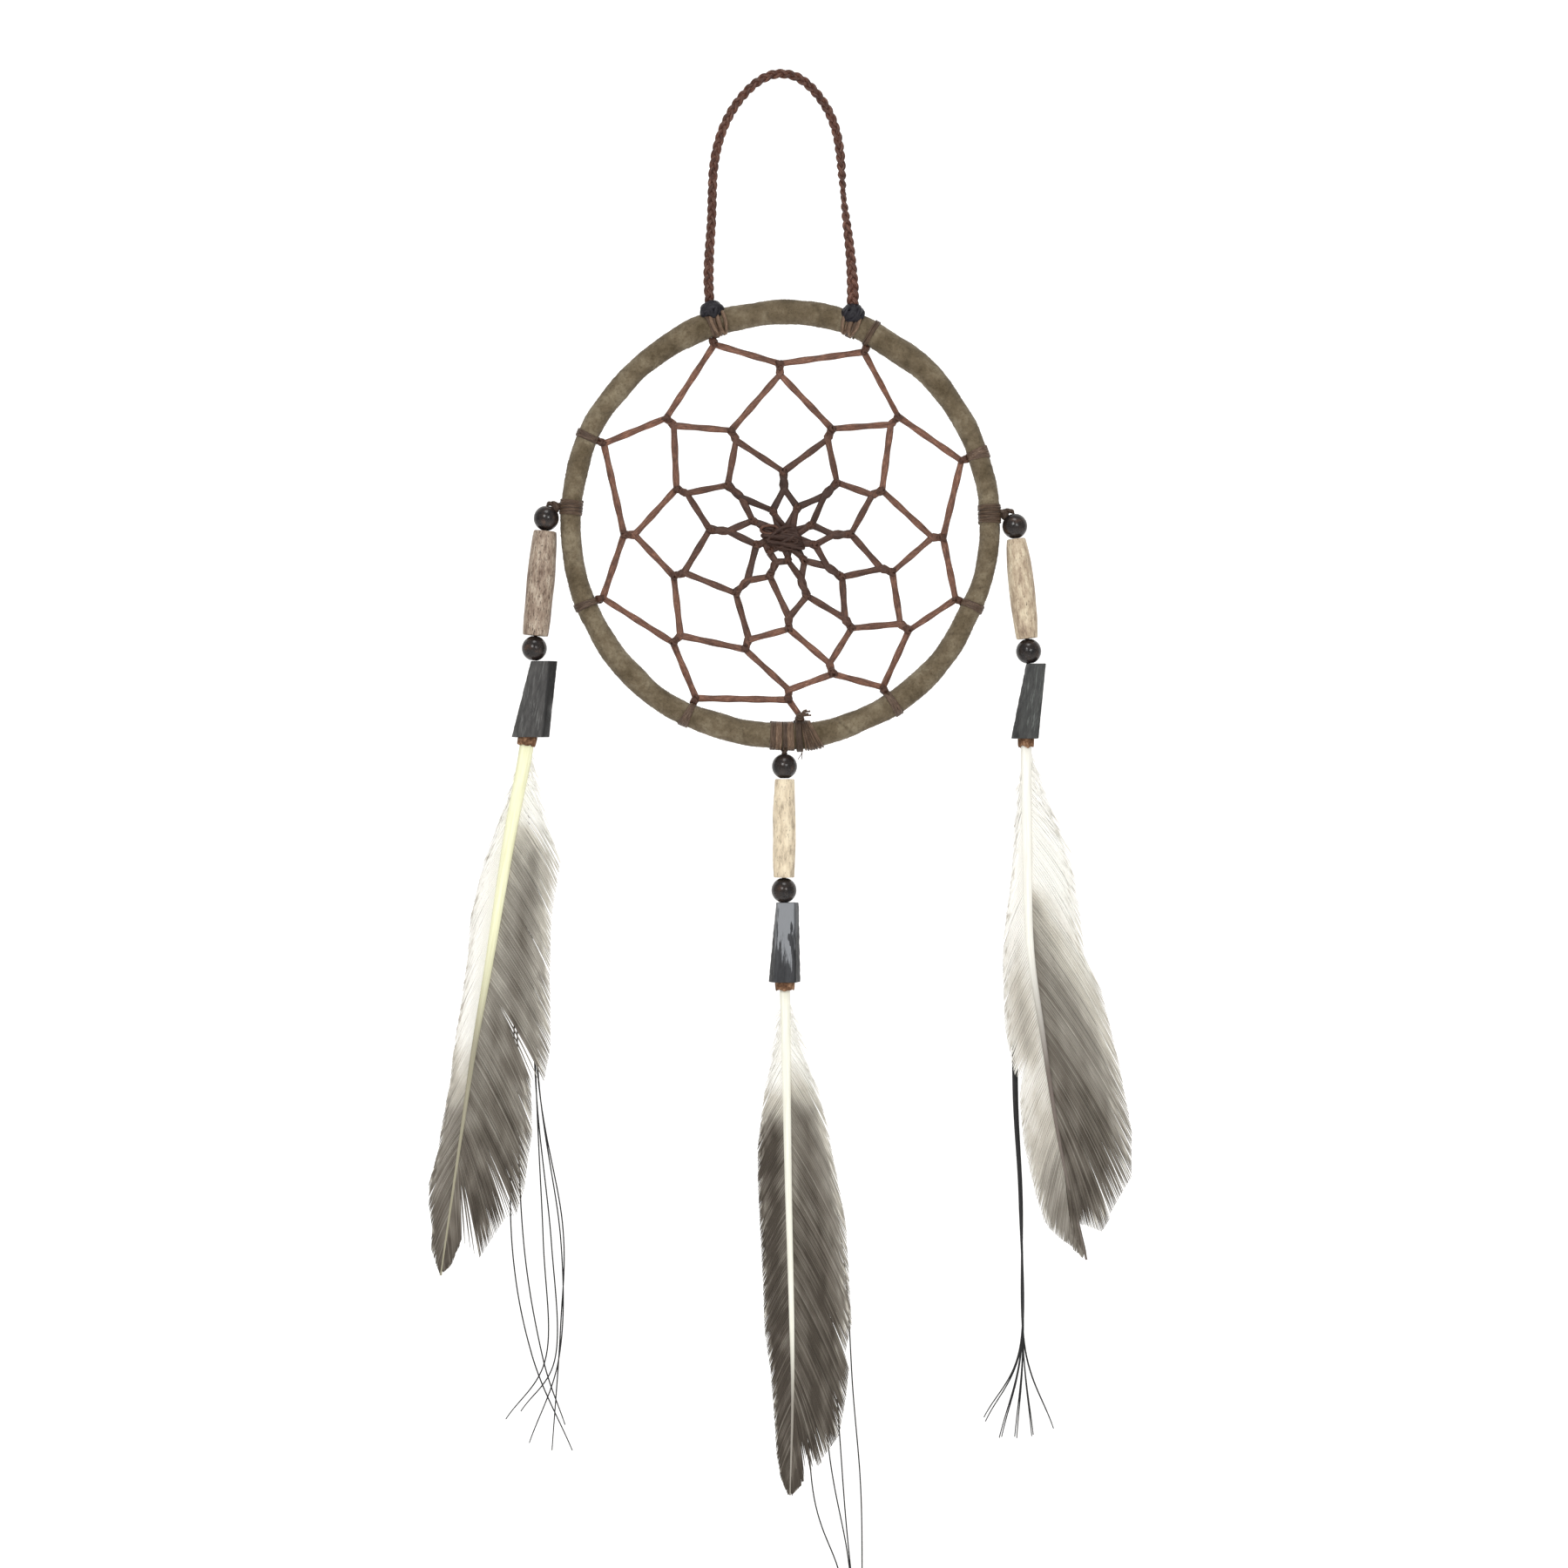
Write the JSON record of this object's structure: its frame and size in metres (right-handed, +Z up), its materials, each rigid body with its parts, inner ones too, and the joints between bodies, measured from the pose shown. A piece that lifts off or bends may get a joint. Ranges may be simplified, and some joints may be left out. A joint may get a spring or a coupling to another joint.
{
  "type": "dream catcher",
  "caption": "Hanging dream catcher: suede-wrapped hoop with a woven sinew net, a braided hanging loop, and bead, bone, horn and feather pendants.",
  "frame": {"origin": "inside top of the braided loop, where a nail or hook carries it", "axes": "+Z up along the hanging object, the hoop's front faces -Y, +X to the right seen from the front"},
  "size_m": [0.2429, 0.0113, 0.5465],
  "materials": {
    "braided_sinew": "waxed braid",
    "willow": "bare",
    "suede": "napped",
    "sinew": "waxed",
    "waxed_thread": "waxed",
    "dark_bead": "gloss",
    "bone": "worn polish",
    "horn": "satin, scratched",
    "leather": "rough cut",
    "quill": "satin",
    "feather": "soft, mottled grey on white",
    "horsehair": "sheen"
  },
  "bodies": {
    "hanger": {"hanger_braid": "braided_sinew"},
    "hoop": {"hoop_core": "willow", "hoop_wrap": "suede", "web": "sinew", "web_turn_1": "sinew", "web_turn_2": "sinew", "web_turn_3": "sinew", "web_turn_4": "sinew", "web_turn_5": "sinew", "web_turn_6": "sinew", "binding_left": "sinew", "binding_right": "sinew", "binding_bottom": "sinew", "hanger_knot_left": "waxed_thread", "hanger_knot_right": "waxed_thread", "hanger_binding_left": "sinew", "hanger_binding_right": "sinew"},
    "left_loop": {"left_tie": "sinew"},
    "left_upper": {"left_bead_upper": "dark_bead"},
    "left_strand": {"left_cord": "sinew"},
    "left_pipe": {"left_hairpipe": "bone"},
    "left_lower": {"left_bead_lower": "dark_bead"},
    "left_feather": {"left_horn": "horn", "left_cord_knot": "sinew", "left_plug": "leather", "left_shaft": "quill", "left_vane_left": "feather", "left_vane_right": "feather", "left_hair": "horsehair"},
    "right_loop": {"right_tie": "sinew"},
    "right_upper": {"right_bead_upper": "dark_bead"},
    "right_strand": {"right_cord": "sinew"},
    "right_pipe": {"right_hairpipe": "bone"},
    "right_lower": {"right_bead_lower": "dark_bead"},
    "right_feather": {"right_horn": "horn", "right_cord_knot": "sinew", "right_plug": "leather", "right_shaft": "quill", "right_vane_left": "feather", "right_vane_right": "feather", "right_hair": "horsehair"},
    "bottom_loop": {"bottom_tie": "sinew"},
    "bottom_upper": {"bottom_bead_upper": "dark_bead"},
    "bottom_strand": {"bottom_cord": "sinew"},
    "bottom_pipe": {"bottom_hairpipe": "bone"},
    "bottom_lower": {"bottom_bead_lower": "dark_bead"},
    "bottom_feather": {"bottom_horn": "horn", "bottom_cord_knot": "sinew", "bottom_plug": "leather", "bottom_shaft": "quill", "bottom_vane_left": "feather", "bottom_vane_right": "feather", "bottom_hair": "horsehair"}
  },
  "joints": [
    {"name": "hanger_fold", "type": "hinge", "parent": "hanger", "child": "hoop", "pos_m": [0.00085, -0.0022, -0.0805], "axis": [0.9995, 0, -0.033], "range_deg": [-85, 40]},
    {"name": "left_sway", "type": "hinge", "parent": "hoop", "child": "left_loop", "pos_m": [-0.0771, 0, -0.1462], "axis": [1, 0, 0], "range_deg": [-60, 60]},
    {"name": "left_upper_bead_spin", "type": "hinge", "parent": "left_loop", "child": "left_upper", "pos_m": [-0.0805, 0, -0.1512], "axis": [-0.0911, 0, -0.9958], "continuous": true},
    {"name": "left_swing", "type": "hinge", "parent": "left_loop", "child": "left_strand", "pos_m": [-0.0805, 0, -0.1512], "axis": [0, 1, 0], "range_deg": [-6.5, 55]},
    {"name": "left_hairpipe_spin", "type": "hinge", "parent": "left_strand", "child": "left_pipe", "pos_m": [-0.08255, 0, -0.1736], "axis": [-0.0911, 0, -0.9958], "continuous": true},
    {"name": "left_lower_bead_spin", "type": "hinge", "parent": "left_strand", "child": "left_lower", "pos_m": [-0.0846, 0, -0.196], "axis": [-0.0911, 0, -0.9958], "continuous": true},
    {"name": "left_feather_swing", "type": "hinge", "parent": "left_strand", "child": "left_feather", "pos_m": [-0.0846, 0, -0.196], "axis": [0, 1, 0], "range_deg": [-12, 25]},
    {"name": "right_sway", "type": "hinge", "parent": "hoop", "child": "right_loop", "pos_m": [0.0771, 0, -0.1486], "axis": [1, 0, 0], "range_deg": [-60, 60]},
    {"name": "right_upper_bead_spin", "type": "hinge", "parent": "right_loop", "child": "right_upper", "pos_m": [0.0808, 0, -0.1539], "axis": [0.1107, 0, -0.9939], "continuous": true},
    {"name": "right_swing", "type": "hinge", "parent": "right_loop", "child": "right_strand", "pos_m": [0.0808, 0, -0.1539], "axis": [0, 1, 0], "range_deg": [-55, 8]},
    {"name": "right_hairpipe_spin", "type": "hinge", "parent": "right_strand", "child": "right_pipe", "pos_m": [0.0832, 0, -0.17545], "axis": [0.1107, 0, -0.9939], "continuous": true},
    {"name": "right_lower_bead_spin", "type": "hinge", "parent": "right_strand", "child": "right_lower", "pos_m": [0.0856, 0, -0.197], "axis": [0.1107, 0, -0.9939], "continuous": true},
    {"name": "right_feather_swing", "type": "hinge", "parent": "right_strand", "child": "right_feather", "pos_m": [0.0856, 0, -0.197], "axis": [0, 1, 0], "range_deg": [-25, 12]},
    {"name": "bottom_sway", "type": "hinge", "parent": "hoop", "child": "bottom_loop", "pos_m": [0.0015, 0, -0.2318], "axis": [1, 0, 0], "range_deg": [-40, 40]},
    {"name": "bottom_upper_bead_spin", "type": "hinge", "parent": "bottom_loop", "child": "bottom_upper", "pos_m": [0.0015, 0, -0.2366], "axis": [-0.0035, 0, -1], "continuous": true},
    {"name": "bottom_swing", "type": "hinge", "parent": "bottom_loop", "child": "bottom_strand", "pos_m": [0.0015, 0, -0.2366], "axis": [0, 1, 0], "range_deg": [-10, 15]},
    {"name": "bottom_hairpipe_spin", "type": "hinge", "parent": "bottom_strand", "child": "bottom_pipe", "pos_m": [0.00143, 0, -0.25795], "axis": [-0.0035, 0, -1], "continuous": true},
    {"name": "bottom_lower_bead_spin", "type": "hinge", "parent": "bottom_strand", "child": "bottom_lower", "pos_m": [0.00135, 0, -0.2793], "axis": [-0.0035, 0, -1], "continuous": true},
    {"name": "bottom_feather_swing", "type": "hinge", "parent": "bottom_strand", "child": "bottom_feather", "pos_m": [0.00135, 0, -0.2793], "axis": [0, 1, 0], "range_deg": [-10, 10]}
  ]
}
